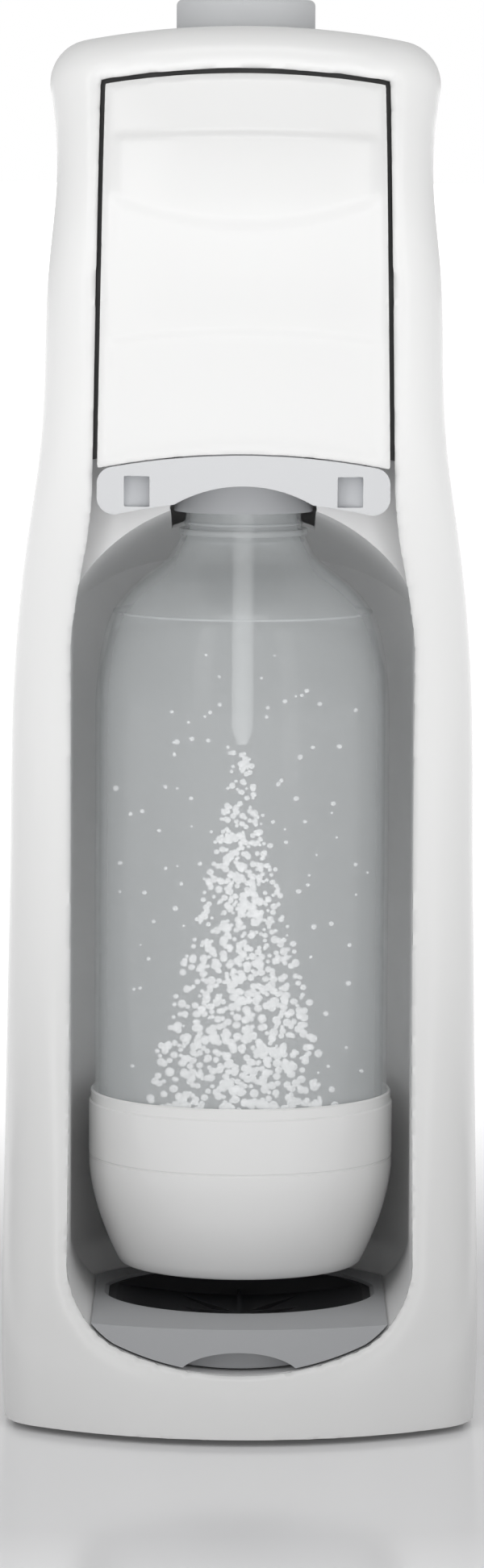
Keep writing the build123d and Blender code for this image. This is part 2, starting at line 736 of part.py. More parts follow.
# ---- drip tray ------------------------------------------------------------------------------
def tray_room(radius, lift):
    """Round hollow of the tray above its curved floor, lifted off that floor."""
    with BuildPart() as hollow:
        add(bay_hollow(-tray_clearance - tray_wall - lift))
        with BuildSketch(Plane.XY):
            with Locations((0, bottle_y)):
                Circle(radius)
        extrude(amount=deck_z + 60, mode=Mode.INTERSECT)
    return hollow.part


with BuildPart() as drip_tray:
    add(bay_hollow(-tray_clearance))
    with BuildSketch(Plane.XY):
        add(bay_plan(-tray_clearance))
    extrude(amount=deck_z, mode=Mode.INTERSECT)
    add(form(2.0), mode=Mode.INTERSECT)
    add(tray_room(tray_recess_radius, 0.0), mode=Mode.SUBTRACT)
    # finger hollow under the front edge
    with BuildPart(mode=Mode.PRIVATE) as finger:
        with BuildSketch(Plane.XZ.offset(-front_y + 5)):
            with Locations((0, deck_z - 14.5)):
                Ellipse(18.3, 8.0)
        extrude(amount=-15)
    add(finger.part, mode=Mode.SUBTRACT)
drip_tray.part.label = "drip_tray"

with BuildPart() as tray_insert:
    add(tray_room(tray_recess_radius - 0.4, 0.1))
    add(tray_room(tray_recess_radius - 0.4 - tray_insert_wall, 0.1 + tray_insert_wall), mode=Mode.SUBTRACT)
    with BuildSketch(Plane.XY):
        with Locations((0, bottle_y)):
            for angle in range(0, 180, 30):
                Rectangle(2 * tray_recess_radius - 4, 1.4, rotation=angle, align=(Align.CENTER, Align.CENTER))
    rib_top = deck_z - tray_depth + 6.0
    extrude(amount=rib_top)
    add(tray_room(tray_recess_radius - 0.4, 0.1), mode=Mode.INTERSECT)
    with BuildSketch(Plane.XY.offset(deck_z - 1.0)):
        Rectangle(200, 200)
    extrude(amount=60, mode=Mode.SUBTRACT)
tray_insert.part.label = "tray_insert"

# ---- gas cylinder, valve and hose -------------------------------------------------------------
cylinder_plane = Plane(origin=(0, cylinder_y, 0), x_dir=(1, 0, 0), z_dir=(0, -1, 0))
cylinder_axis = Axis((0, cylinder_y, 0), (0, 0, 1))
neck_top_z = chassis_z - 14.0
dome_z = neck_top_z - 34.0


def cylinder_profile(inset, low, high):
    """Half section of the cylinder between two heights, with a domed foot and shoulder."""
    r = cylinder_radius - inset
    n = 11.0 - inset
    with BuildLine() as line:
        Line((0, low), (r - 10, low))
        ThreePointArc((r - 10, low), (r - 2.9, low + 2.9), (r, low + 10))
        Line((r, low + 10), (r, dome_z))
        ThreePointArc((r, dome_z), (r * 0.81, dome_z + 17), (n, dome_z + 25))
        Line((n, dome_z + 25), (n, high))
        Line((n, high), (0, high))
        Line((0, high), (0, low))
    return line.line


with BuildPart() as gas_cylinder:
    with BuildSketch(cylinder_plane):
        add(cylinder_profile(0.0, cylinder_bottom_z, neck_top_z))
        make_face()
    revolve(axis=cylinder_axis)
    with BuildPart(mode=Mode.PRIVATE) as gas_room:
        with BuildSketch(cylinder_plane):
            add(cylinder_profile(cylinder_wall, cylinder_bottom_z + 4, neck_top_z - 6))
            make_face()
        revolve(axis=cylinder_axis)
    add(gas_room.part, mode=Mode.SUBTRACT)
gas_cylinder.part.label = "gas_cylinder"

valve_top_z = chassis_top_z + 11.0
with BuildPart() as cylinder_valve:
    with BuildSketch(Plane.XY.offset(neck_top_z)):
        with Locations((0, cylinder_y)):
            RegularPolygon(valve_hex_radius, 6)
    extrude(amount=chassis_z - 0.6 - neck_top_z)
    with BuildSketch(Plane.XY.offset(neck_top_z)):
        with Locations((0, cylinder_y)):
            Circle(valve_thread_radius)
    extrude(amount=valve_top_z - neck_top_z)
    chamfer(cylinder_valve.faces().sort_by(Axis.Z)[-1].edges(), 1.0)
cylinder_valve.part.label = "cylinder_valve"

with BuildPart() as cylinder_seal:
    with BuildSketch(Plane.XY.offset(valve_top_z + 0.1)):
        with Locations((0, cylinder_y)):
            Circle(valve_thread_radius - 1.5)
            Circle(4.0, mode=Mode.SUBTRACT)
    extrude(amount=1.2)
cylinder_seal.part.label = "cylinder_seal"

with BuildPart() as cylinder_cradle:
    with BuildSketch(Plane.XY.offset(base_plate_top_z)):
        with Locations((0, cylinder_y)):
            Circle(cylinder_radius + 2.4)
    extrude(amount=34)
    with BuildSketch(Plane.XY.offset(base_plate_top_z + 1.6)):
        with Locations((0, cylinder_y)):
            Circle(cylinder_radius + 0.6)
            Rectangle(90, 40, align=(Align.CENTER, Align.MIN))
    extrude(amount=50, mode=Mode.SUBTRACT)
    with BuildSketch(Plane.XY.offset(base_plate_top_z)):
        with Locations((0, bottle_y + bay_half_width + sump_wall + skin_gap)):
            Rectangle(90, 40, align=(Align.CENTER, Align.MAX))
    extrude(amount=50, mode=Mode.SUBTRACT)
cylinder_cradle.part.label = "cylinder_cradle"

block_top_z = chassis_top_z + 24.0
port_z = chassis_top_z + 13.0
with BuildPart() as valve_block:
    with BuildSketch(Plane.XY.offset(chassis_top_z)):
        with Locations((0, cylinder_y)):
            RectangleRounded(44, 40, 5)
        with Locations((0, lever_pin_y - 3)):
            Rectangle(32, 16)
    extrude(amount=block_top_z - chassis_top_z)
    with BuildSketch(Plane.XY.offset(chassis_top_z)):
        with Locations((0, cylinder_y)):
            Circle(valve_thread_radius + 0.4)
    extrude(amount=valve_top_z + 1.5 - chassis_top_z, mode=Mode.SUBTRACT)
    with BuildSketch(Plane.XY.offset(chassis_top_z)):
        with Locations((0, cylinder_y)):
            Circle(valve_pin_radius + running_fit)
    extrude(amount=40, mode=Mode.SUBTRACT)
    for side in (-1, 1):
        with BuildSketch(Plane.YZ.offset(side * 10)):
            with BuildLine():
                Line((lever_pin_y - 8, block_top_z - 1), (lever_pin_y - 6, lever_pin_z))
                ThreePointArc(
                    (lever_pin_y - 6, lever_pin_z),
                    (lever_pin_y, lever_pin_z + 6),
                    (lever_pin_y + 6, lever_pin_z),
                )
                Line((lever_pin_y + 6, lever_pin_z), (lever_pin_y + 5, block_top_z - 1))
                Line((lever_pin_y + 5, block_top_z - 1), (lever_pin_y - 8, block_top_z - 1))
            make_face()
            with Locations((lever_pin_y, lever_pin_z)):
                Circle(lever_pin_radius, mode=Mode.SUBTRACT)
        extrude(amount=side * 4)
valve_block.part.label = "valve_block"

with BuildPart() as valve_pin:
    with BuildSketch(Plane.XY.offset(valve_top_z + 4)):
        with Locations((0, cylinder_y)):
            Circle(valve_pin_radius)
    extrude(amount=lever_bottom_z - contact_gap - valve_top_z - 4)
    fillet(valve_pin.faces().sort_by(Axis.Z)[-1].edges(), 1.0)
valve_pin.part.label = "valve_pin"

with BuildPart() as hose_gland:
    with BuildSketch(Plane.YZ.offset(-trunnion_out_x - 0.5)):
        with Locations((bottle_y, trunnion_z)):
            RectangleRounded(11, 12, 3)
    extrude(amount=-11)
hose_gland.part.label = "hose_gland"

hose_radius = 2.8
with BuildPart() as gas_hose:
    with BuildLine() as route:
        FilletPolyline(
            (hose_x, bottle_y, trunnion_z + 6),
            (hose_x, bottle_y, port_z),
            (hose_x, cylinder_y, port_z),
            (-22, cylinder_y, port_z),
            radius=[24, 15],
        )
    with BuildSketch(Plane(origin=route.line @ 0, z_dir=route.line % 0)):
        Circle(hose_radius)
        Circle(hose_radius - 1.0, mode=Mode.SUBTRACT)
    sweep()
gas_hose.part.label = "gas_hose"

# ---- button and lever -------------------------------------------------------------------------
guide_floor_z = lever_bottom_z + lever_thickness + 3.0
with BuildPart() as button:
    with BuildSketch(Plane.XY.offset(button_top_z - 15)):
        with Locations((0, button_y)):
            RectangleRounded(2 * button_half_width, 2 * button_half_depth, button_half_width - 2.5)
    extrude(amount=15)
    fillet(button.faces().sort_by(Axis.Z)[-1].edges(), 1.8)
    with BuildSketch(Plane.XY.offset(button_top_z - 15)):
        with Locations((0, button_y)):
            RectangleRounded(
                2 * (button_half_width - button_wall),
                2 * (button_half_depth - button_wall),
                button_half_width - 2.5 - button_wall,
            )
    extrude(amount=15 - button_wall, mode=Mode.SUBTRACT)
button.part.label = "button"

with BuildPart() as button_stem:
    with BuildSketch(Plane.XY.offset(lever_bottom_z + lever_thickness + stem_gap)):
        with Locations((0, stem_y)):
            Circle(stem_radius)
    extrude(amount=button_top_z - button_wall - lever_bottom_z - lever_thickness - stem_gap)
button_stem.part.label = "button_stem"

with BuildPart() as button_guide:
    with BuildSketch(Plane.XY.offset(guide_floor_z)):
        with Locations((0, button_y)):
            RectangleRounded(
                2 * (button_half_width + button_gap + 2),
                2 * (button_half_depth + button_gap + 2),
                button_half_width,
            )
    extrude(amount=crown_z - wall - 2.0 - guide_floor_z)
    with BuildSketch(Plane.XY.offset(guide_floor_z + 2)):
        with Locations((0, button_y)):
            RectangleRounded(
                2 * (button_half_width + button_gap),
                2 * (button_half_depth + button_gap),
                button_half_width - 2,
            )
    extrude(amount=30, mode=Mode.SUBTRACT)
    with BuildSketch(Plane.XY.offset(guide_floor_z)):
        with Locations((0, stem_y)):
            Circle(stem_radius + running_fit)
    extrude(amount=5, mode=Mode.SUBTRACT)
    add(fitting, mode=Mode.INTERSECT)
button_guide.part.label = "button_guide"

spring_low_z = guide_floor_z + 2.0
spring_high_z = button_top_z - button_wall
wire = 0.8
with BuildPart() as button_spring:
    with BuildLine() as coil:
        Helix(
            pitch=(spring_high_z - spring_low_z - 2 * wire - 0.2) / 5,
            height=spring_high_z - spring_low_z - 2 * wire - 0.2,
            radius=8.0,
            center=(0, stem_y, spring_low_z + wire + 0.1),
        )
    with BuildSketch(Plane(origin=coil.line @ 0, z_dir=coil.line % 0)):
        Circle(wire)
    sweep(is_frenet=True)
button_spring.part.label = "button_spring"

with BuildPart() as actuator_lever:
    with BuildSketch(Plane.YZ.offset(-lever_half_width)):
        with BuildLine():
            Line((stem_y - 7, lever_bottom_z), (stem_y - 7, lever_bottom_z + lever_thickness))
            Line((stem_y - 7, lever_bottom_z + lever_thickness), (lever_pin_y, lever_bottom_z + lever_thickness))
            Line((lever_pin_y, lever_bottom_z + lever_thickness), (lever_pin_y, lever_bottom_z))
            Line((lever_pin_y, lever_bottom_z), (stem_y - 7, lever_bottom_z))
        make_face()
    extrude(amount=2 * lever_half_width)
    with BuildSketch(Plane.YZ.offset(-lever_half_width - 2)):
        with Locations((lever_pin_y, lever_pin_z)):
            Circle(5.5)
    extrude(amount=2 * lever_half_width + 4)
    with BuildSketch(Plane.YZ.offset(-lever_half_width - 3)):
        with Locations((lever_pin_y, lever_pin_z)):
            Circle(lever_pin_radius + running_fit)
    extrude(amount=2 * lever_half_width + 6, mode=Mode.SUBTRACT)
actuator_lever.part.label = "actuator_lever"

with BuildPart() as lever_pin:
    with BuildSketch(Plane.YZ.offset(-15)):
        with Locations((lever_pin_y, lever_pin_z)):
            Circle(lever_pin_radius)
    extrude(amount=30)
lever_pin.part.label = "lever_pin"

# ---- write the pieces -------------------------------------------------------------------------
pieces = [
    front_frame, rear_cover, cover_latch, bay_liner, bay_sump, base_plate, hinge_rod,
    rubber_feet, base_screws, head_cover, head_lip, face_seal, bay_ceiling, head_chassis,
    chassis_screws, trunnion_bushes, bottle_holder, trunnion_pins, carbonation_tube, tube_tip,
    bottle_seal, relief_valve_body, relief_poppet, bottle, base_cup, drip_tray, tray_insert,
    gas_cylinder, cylinder_valve, cylinder_seal, cylinder_cradle, valve_block, valve_pin,
    hose_gland, gas_hose, button, button_stem, button_guide, button_spring, actuator_lever,
    lever_pin,
]
os.makedirs("parts", exist_ok=True)
for piece in pieces:
    export_step(piece.part, f"parts/{piece.part.label}.step")
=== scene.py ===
"""Soda carbonator: studio, finishes and detailed pieces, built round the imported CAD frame."""

from __future__ import annotations

import json
import logging
import math
import random
from dataclasses import dataclass, field
from enum import Enum
from typing import Callable, Iterable, Sequence

import bmesh
import bpy
from mathutils import Matrix, Vector
from mathutils.kdtree import KDTree

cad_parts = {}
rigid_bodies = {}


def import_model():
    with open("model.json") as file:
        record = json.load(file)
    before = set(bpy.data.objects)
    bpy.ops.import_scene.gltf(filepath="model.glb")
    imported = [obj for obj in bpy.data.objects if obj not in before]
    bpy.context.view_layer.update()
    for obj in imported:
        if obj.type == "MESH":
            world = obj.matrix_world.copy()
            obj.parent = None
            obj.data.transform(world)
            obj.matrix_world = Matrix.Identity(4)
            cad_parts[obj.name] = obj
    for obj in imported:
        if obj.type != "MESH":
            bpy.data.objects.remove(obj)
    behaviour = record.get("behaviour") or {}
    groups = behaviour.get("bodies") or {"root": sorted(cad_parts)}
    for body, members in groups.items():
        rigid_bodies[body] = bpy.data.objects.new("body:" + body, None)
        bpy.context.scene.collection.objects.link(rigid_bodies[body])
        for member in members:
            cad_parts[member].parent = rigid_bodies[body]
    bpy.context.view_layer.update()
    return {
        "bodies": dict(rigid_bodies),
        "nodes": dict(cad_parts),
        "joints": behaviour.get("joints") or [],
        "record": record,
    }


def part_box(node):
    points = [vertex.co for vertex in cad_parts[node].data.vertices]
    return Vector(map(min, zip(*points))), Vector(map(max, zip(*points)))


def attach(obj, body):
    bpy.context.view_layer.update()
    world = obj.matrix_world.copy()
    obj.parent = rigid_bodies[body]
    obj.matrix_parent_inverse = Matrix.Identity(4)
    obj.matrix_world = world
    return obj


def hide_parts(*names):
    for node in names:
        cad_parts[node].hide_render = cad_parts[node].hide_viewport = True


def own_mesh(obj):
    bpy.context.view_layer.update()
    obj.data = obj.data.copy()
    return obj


log = logging.getLogger("soda_carbonator")
MM = 0.001
TURN = 360.0
NOISE_SPAN = (0.3, 0.7)
# The colour sockets of a Mix node: its two inputs and its result.
MIX_DARK, MIX_LIGHT, MIX_RESULT = 6, 7, 2
# A face whose normal's Y is under FORWARD looks to the front, and one over BACKWARD to the back.
FORWARD, BACKWARD = -0.06, 0.1
Point = tuple[float, float, float]


# ---- finishes -------------------------------------------------------------------------------
class Nodes:
    """A material under construction: its node tree, shader and object coordinates."""

    def __init__(self, name: str) -> None:
        """Starts a material with an empty Principled shader.

        Args:
            name: the material's name.
        """
        self.material = bpy.data.materials.new(name)
        self.material.use_nodes = True
        self.tree = self.material.node_tree
        self.shader = self.tree.nodes["Principled BSDF"]
        self.place = self.tree.nodes.new("ShaderNodeTexCoord").outputs["Object"]

    def add(self, kind: str, **inputs: object) -> bpy.types.Node:
        """Adds a node and sets its inputs by name.

        Args:
            kind: the node's type without its "ShaderNode" prefix.
            **inputs: input names with underscores for spaces; an output socket is linked.

        Returns:
            The new node.
        """
        node = self.tree.nodes.new("ShaderNode" + kind)
        for key, value in inputs.items():
            self.set(node.inputs[key.replace("_", " ")], value)
        return node

    def set(self, socket: bpy.types.NodeSocket, value: object) -> None:
        """Links an output socket to an input, or sets the input's own value."""
        if isinstance(value, bpy.types.NodeSocket):
            self.tree.links.new(value, socket)
        else:
            socket.default_value = value

    def noise(
        self, scale: float, detail: float = 3.0, stretch: Sequence[float] = (1, 1, 1)
    ) -> bpy.types.NodeSocket:
        """Adds a noise over the object's coordinates.

        Args:
            scale: repeats per metre.
            detail: octaves.
            stretch: how much each axis is multiplied first.

        Returns:
            The noise factor's socket.
        """
        mapping = self.add("Mapping", Vector=self.place)
        mapping.inputs["Scale"].default_value = stretch
        return self.add("TexNoise", Vector=mapping.outputs[0], Scale=scale, Detail=detail).outputs["Fac"]

    def ramp(
        self, factor: bpy.types.NodeSocket, low: float, high: float, span: tuple[float, float] = NOISE_SPAN
    ) -> bpy.types.NodeSocket:
        """Maps a span of a socket's values to a range of numbers.

        Args:
            factor: the socket to map.
            low: the number at the span's low end.
            high: the number at its high end.
            span: the values that are mapped; by default those that a noise mostly takes.

        Returns:
            The mapped socket.
        """
        start, end = span
        return self.add(
            "MapRange", Value=factor, From_Min=start, From_Max=end, To_Min=low, To_Max=high
        ).outputs["Result"]

    def tint(
        self, factor: bpy.types.NodeSocket, dark: Sequence[float], light: Sequence[float]
    ) -> bpy.types.NodeSocket:
        """Mixes two colours by a factor.

        Args:
            factor: the socket that mixes.
            dark: the colour at 0.
            light: the colour at 1.

        Returns:
            The colour socket.
        """
        mix = self.tree.nodes.new("ShaderNodeMix")
        mix.data_type = "RGBA"
        self.tree.links.new(factor, mix.inputs["Factor"])
        mix.inputs[MIX_DARK].default_value = (*dark, 1)
        mix.inputs[MIX_LIGHT].default_value = (*light, 1)
        return mix.outputs[MIX_RESULT]

    def feed(self, **inputs: object) -> None:
        """Sets or links the shader's inputs by name, with underscores for spaces."""
        for key, value in inputs.items():
            self.set(self.shader.inputs[key.replace("_", " ")], value)

    def bump(self, height: bpy.types.NodeSocket, distance: float, strength: float = 1.0) -> None:
        """Gives the shader a bump.

        Args:
            height: the height socket.
            distance: the bump's depth in metres.
            strength: the bump's strength.
        """
        node = self.add("Bump", Height=height, Distance=distance, Strength=strength)
        self.tree.links.new(node.outputs["Normal"], self.shader.inputs["Normal"])


@dataclass(frozen=True)
class MouldedPlastic:
    """Injection-moulded plastic with faint flow mottling and a fine skin texture."""

    name: str
    colour: Point
    roughness: float
    coat: float = 0.0
    grain: float = 2600.0
    depth: float = 0.00001
    mottle: float = 0.02
    subsurface: float = 0.0
    # Strength of a white emission: painted light on a part that is no lamp.
    painted_glow: float = 0.0
    ior: float = 1.49
    coat_roughness: float = 0.06
    scatter_depth: float = 0.002

    def build(self) -> bpy.types.Material:
        """Makes the material."""
        kit = Nodes(self.name)
        dark = tuple(c * (1 - self.mottle) for c in self.colour)
        kit.feed(
            Base_Color=kit.tint(kit.noise(14.0, 4.0), dark, self.colour),
            Roughness=kit.ramp(kit.noise(60.0, 5.0), self.roughness * 0.9, self.roughness * 1.12),
            IOR=self.ior,
            Coat_Weight=self.coat,
            Coat_Roughness=self.coat_roughness,
            Subsurface_Weight=self.subsurface,
            Subsurface_Scale=self.scatter_depth,
            # Painted light: white emission lights this part from within.
            Emission_Color=(1, 1, 1, 1),
            Emission_Strength=self.painted_glow,
        )
        kit.bump(kit.noise(self.grain, 2.0), self.depth)
        return kit.material


@dataclass(frozen=True)
class Metal:
    """Drawn or turned metal with fine machining lines along one axis."""

    name: str
    colour: Point
    roughness: float
    lines: Point = (1.0, 1.0, 40.0)
    shade: float = 0.86
    mark_depth: float = 0.00002

    def build(self) -> bpy.types.Material:
        """Makes the material."""
        kit = Nodes(self.name)
        marks = kit.noise(220.0, 4.0, self.lines)
        kit.feed(
            Base_Color=kit.tint(marks, tuple(c * self.shade for c in self.colour), self.colour),
            Metallic=1.0,
            Roughness=kit.ramp(marks, self.roughness * 0.75, self.roughness * 1.3),
        )
        kit.bump(marks, self.mark_depth)
        return kit.material


@dataclass(frozen=True)
class ClearPlastic:
    """Clear thin plastic, water or a bubble: seen through face on, glossy and denser at a glancing angle."""

    name: str
    colour: Point
    facing: float
    glancing: float
    roughness: float
    wave: float
    # Strength of a white emission: painted light on a part that is no lamp.
    painted_glow: float = 0.0
    ior: float = 1.5
    rim_blend: float = 0.3
    rim_span: tuple[float, float] = (0.15, 1.0)

    def build(self) -> bpy.types.Material:
        """Makes the material."""
        kit = Nodes(self.name)
        rim = kit.add("LayerWeight", Blend=self.rim_blend).outputs["Facing"]
        kit.feed(
            Base_Color=(*self.colour, 1),
            Alpha=kit.ramp(rim, self.facing, self.glancing, self.rim_span),
            IOR=self.ior,
            # Painted light: white emission lights this part from within.
            Emission_Color=(1, 1, 1, 1),
            Emission_Strength=self.painted_glow,
            Roughness=kit.ramp(kit.noise(40.0), self.roughness * 0.6, self.roughness * 1.4),
        )
        kit.bump(kit.noise(38.0, 2.0, (1, 1, 0.35)), self.wave)
        return kit.material


class Finish(Enum):
    """The finishes of the machine, by the part they belong to."""

    WHITE_GLOSS = MouldedPlastic(
        "white_gloss", (0.84, 0.84, 0.84), 0.2, coat=0.4, depth=0.000003, mottle=0.01
    )
    # White plastic of the bay set to mid-grey: painted shade for the recess.
    WHITE_SATIN = MouldedPlastic("white_satin", (0.5, 0.5, 0.505), 0.42)
    LIP_GREY = MouldedPlastic("lip_grey", (0.62, 0.625, 0.63), 0.38)
    BUTTON_GREY = MouldedPlastic("button_grey", (0.5, 0.51, 0.52), 0.34)
    # Grey of the bottle holder, set darker so the lip pockets behind the windows read dark: real colour
    # partly darkened into painted shade.
    HOLDER_GREY = MouldedPlastic("holder_grey", (0.4, 0.41, 0.42), 0.3)
    TRAY_GREY = MouldedPlastic("tray_grey", (0.13, 0.13, 0.134), 0.34, depth=0.00002)
    BLACK_PLASTIC = MouldedPlastic("black_plastic", (0.018, 0.018, 0.02), 0.45, depth=0.00003)
    # The tube's glow is painted light: it makes the tube bright inside the shaded bay, though it is no lamp.
    TUBE_WHITE = MouldedPlastic("tube_white", (0.88, 0.885, 0.89), 0.25, subsurface=0.2, painted_glow=0.7)
    RUBBER = MouldedPlastic("rubber", (0.02, 0.02, 0.02), 0.7, depth=0.00004, mottle=0.2)
    HOSE_NYLON = MouldedPlastic("hose_nylon", (0.04, 0.042, 0.045), 0.3)
    BRASS = Metal("brass", (0.72, 0.55, 0.27), 0.28)
    STEEL = Metal("steel", (0.6, 0.61, 0.63), 0.3)
    ALUMINIUM = Metal("aluminium", (0.7, 0.71, 0.73), 0.33, (1.0, 1.0, 0.02))
    CLEAR_PET = ClearPlastic("clear_pet", (0.8, 0.81, 0.81), 0.03, 0.7, 0.03, 0.00002)
    WATER = ClearPlastic("water", (0.4, 0.41, 0.415), 0.02, 0.4, 0.02, 0.00001)
    # Painted highlight: the bubbles' near-white colour, high face-on opacity and glow stand in for the light
    # they catch.
    BUBBLE = ClearPlastic("bubble", (0.93, 0.935, 0.94), 0.62, 0.98, 0.1, 0.00001, painted_glow=0.32)

    def build(self) -> bpy.types.Material:
        """Makes the finish once and returns it afterwards."""
        return bpy.data.materials.get(self.value.name) or self.value.build()


# ---- modelling by hand ------------------------------------------------------------------------
def deselect() -> None:
    """Leaves edit mode and selects nothing."""
    if bpy.context.object and bpy.context.object.mode != "OBJECT":
        bpy.ops.object.mode_set(mode="OBJECT")
    bpy.ops.object.select_all(action="DESELECT")


def pick(piece: bpy.types.Object) -> bpy.types.Object:
    """Selects a piece alone and makes it active."""
    deselect()
    piece.select_set(True)
    bpy.context.view_layer.objects.active = piece
    return piece


def modify(piece: bpy.types.Object, kind: str, **settings: object) -> None:
    """Adds a modifier and applies it.

    Args:
        piece: the mesh object.
        kind: the modifier's type.
        **settings: its properties.
    """
    pick(piece)
    modifier = piece.modifiers.new(kind.lower(), kind)
    for name, value in settings.items():
        setattr(modifier, name, value)
    bpy.ops.object.modifier_apply(modifier=modifier.name)


def smooth(piece: bpy.types.Object, degrees: float = 35.0) -> None:
    """Shades a piece smooth up to an angle."""
    pick(piece)
    bpy.ops.object.shade_smooth_by_angle(angle=math.radians(degrees))


def finished(
    piece: bpy.types.Object, name: str, finish: Finish, body: str, replaces: Iterable[str] = ()
) -> bpy.types.Object:
    """Names, dresses and places a finished piece.

    Args:
        piece: the mesh object.
        name: the piece's name.
        finish: its finish.
        body: the CAD body it rides on.
        replaces: CAD nodes it stands for.

    Returns:
        The piece.
    """
    pick(piece)
    bpy.ops.object.transform_apply(location=True, rotation=True, scale=True)
    bpy.ops.object.mode_set(mode="EDIT")
    bpy.ops.mesh.select_all(action="SELECT")
    bpy.ops.mesh.normals_make_consistent(inside=False)
    bpy.ops.object.mode_set(mode="OBJECT")
    piece.name = name
    piece.data.name = name
    piece.data.materials.clear()
    piece.data.materials.append(finish.build())
    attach(piece, body)
    nodes = list(replaces)
    if nodes:
        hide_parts(*nodes)
    deselect()
    log.info("piece %s on %s, %d faces", name, body, len(piece.data.polygons))
    return piece


def lathe(
    axis: tuple[float, float], rings: Sequence[tuple[float, float]], sides: int = 96
) -> bpy.types.Object:
    """Builds a round piece by extruding one circle through rings of radius and height.

    Args:
        axis: x and y of the axis.
        rings: radius and height of each ring; the same first and last ring closes it on itself.
        sides: sides of the circle.

    Returns:
        The mesh object, capped unless its last ring meets its first.
    """
    deselect()
    radius, height = rings[0]
    closed = rings[0] == rings[-1]
    fill = "NOTHING" if closed else "NGON"
    bpy.ops.mesh.primitive_circle_add(
        vertices=sides, radius=radius, location=(*axis, height), fill_type=fill
    )
    piece = bpy.context.object
    bpy.ops.object.mode_set(mode="EDIT")
    bpy.ops.mesh.select_all(action="SELECT")
    for new_radius, new_height in rings[1:]:
        bpy.ops.mesh.extrude_region_move(TRANSFORM_OT_translate={"value": (0, 0, new_height - height)})
        scale = new_radius / radius
        bpy.ops.transform.resize(value=(scale, scale, 1), center_override=(*axis, new_height))
        radius, height = new_radius, new_height
    if closed:
        bpy.ops.mesh.select_all(action="SELECT")
        bpy.ops.mesh.remove_doubles(threshold=1e-6)
    bpy.ops.object.mode_set(mode="OBJECT")
    return piece


def copy_of(node: str, frame: dict, depth: int = 0) -> bpy.types.Object:
    """A merged copy of a CAD node's mesh, remeshed to an even grid if asked.

    Args:
        node: the CAD node.
        depth: how often the grid halves the longest side, or 0 to keep the CAD's faces.

    Returns:
        The copy, at the origin.
    """
    piece = bpy.data.objects.new(node + "_copy", frame["nodes"][node].data.copy())
    bpy.context.scene.collection.objects.link(piece)
    pick(piece)
    bpy.ops.object.mode_set(mode="EDIT")
    bpy.ops.mesh.select_all(action="SELECT")
    bpy.ops.mesh.remove_doubles(threshold=2e-6)
    bpy.ops.object.mode_set(mode="OBJECT")
    if depth:
        modify(piece, "REMESH", mode="SHARP", octree_depth=depth, scale=0.9, use_smooth_shade=True)
    return piece


def ease(value: float, low: float, high: float) -> float:
    """Smooth step from 0 at low to 1 at high."""
    t = max(0.0, min(1.0, (value - low) / (high - low)))
    return t * t * (3 - 2 * t)


def roll(distance: float, width: float, depth: float) -> float:
    """How far a rounded edge falls back at a distance from it."""
    if distance >= width:
        return 0.0
    return depth * (1 - math.sqrt(max(0.0, 1 - (1 - distance / width) ** 2)))


def push(piece: bpy.types.Object, depth: Callable[[Vector, Vector], float]) -> None:
    """Moves a mesh's vertices along Y by a depth worked out from their place and normal.

    Args:
        piece: the mesh object.
        depth: gets the place and the normal, and gives metres towards the back.
    """
    places = [(vertex.co.copy(), vertex.normal.copy()) for vertex in piece.data.vertices]
    flat = [c for co, normal in places for c in (co.x, co.y + depth(co, normal), co.z)]
    piece.data.vertices.foreach_set("co", flat)
    piece.data.update()


def edge_tree(piece: bpy.types.Object, test: Callable[[Vector, Vector, Vector], bool], step: float) -> KDTree:
    """Points along the sharp edges of a mesh that pass a test.

    Args:
        piece: the mesh object.
        test: gets the edge's middle and the normals of its two faces.
        step: spacing of the points in metres.

    Returns:
        A balanced tree of the points.
    """
    mesh = bmesh.new()
    mesh.from_mesh(piece.data)
    points = []
    for edge in mesh.edges:
        if len(edge.link_faces) != 2 or edge.calc_face_angle(0.0) < math.radians(40):
            continue
        one, two = (v.co for v in edge.verts)
        if test((one + two) / 2, edge.link_faces[0].normal, edge.link_faces[1].normal):
            count = max(1, round((two - one).length / step))
            points += [one.lerp(two, i / count) for i in range(count + 1)]
    mesh.free()
    tree = KDTree(len(points))
    for index, point in enumerate(points):
        tree.insert(point, index)
    tree.balance()
    return tree


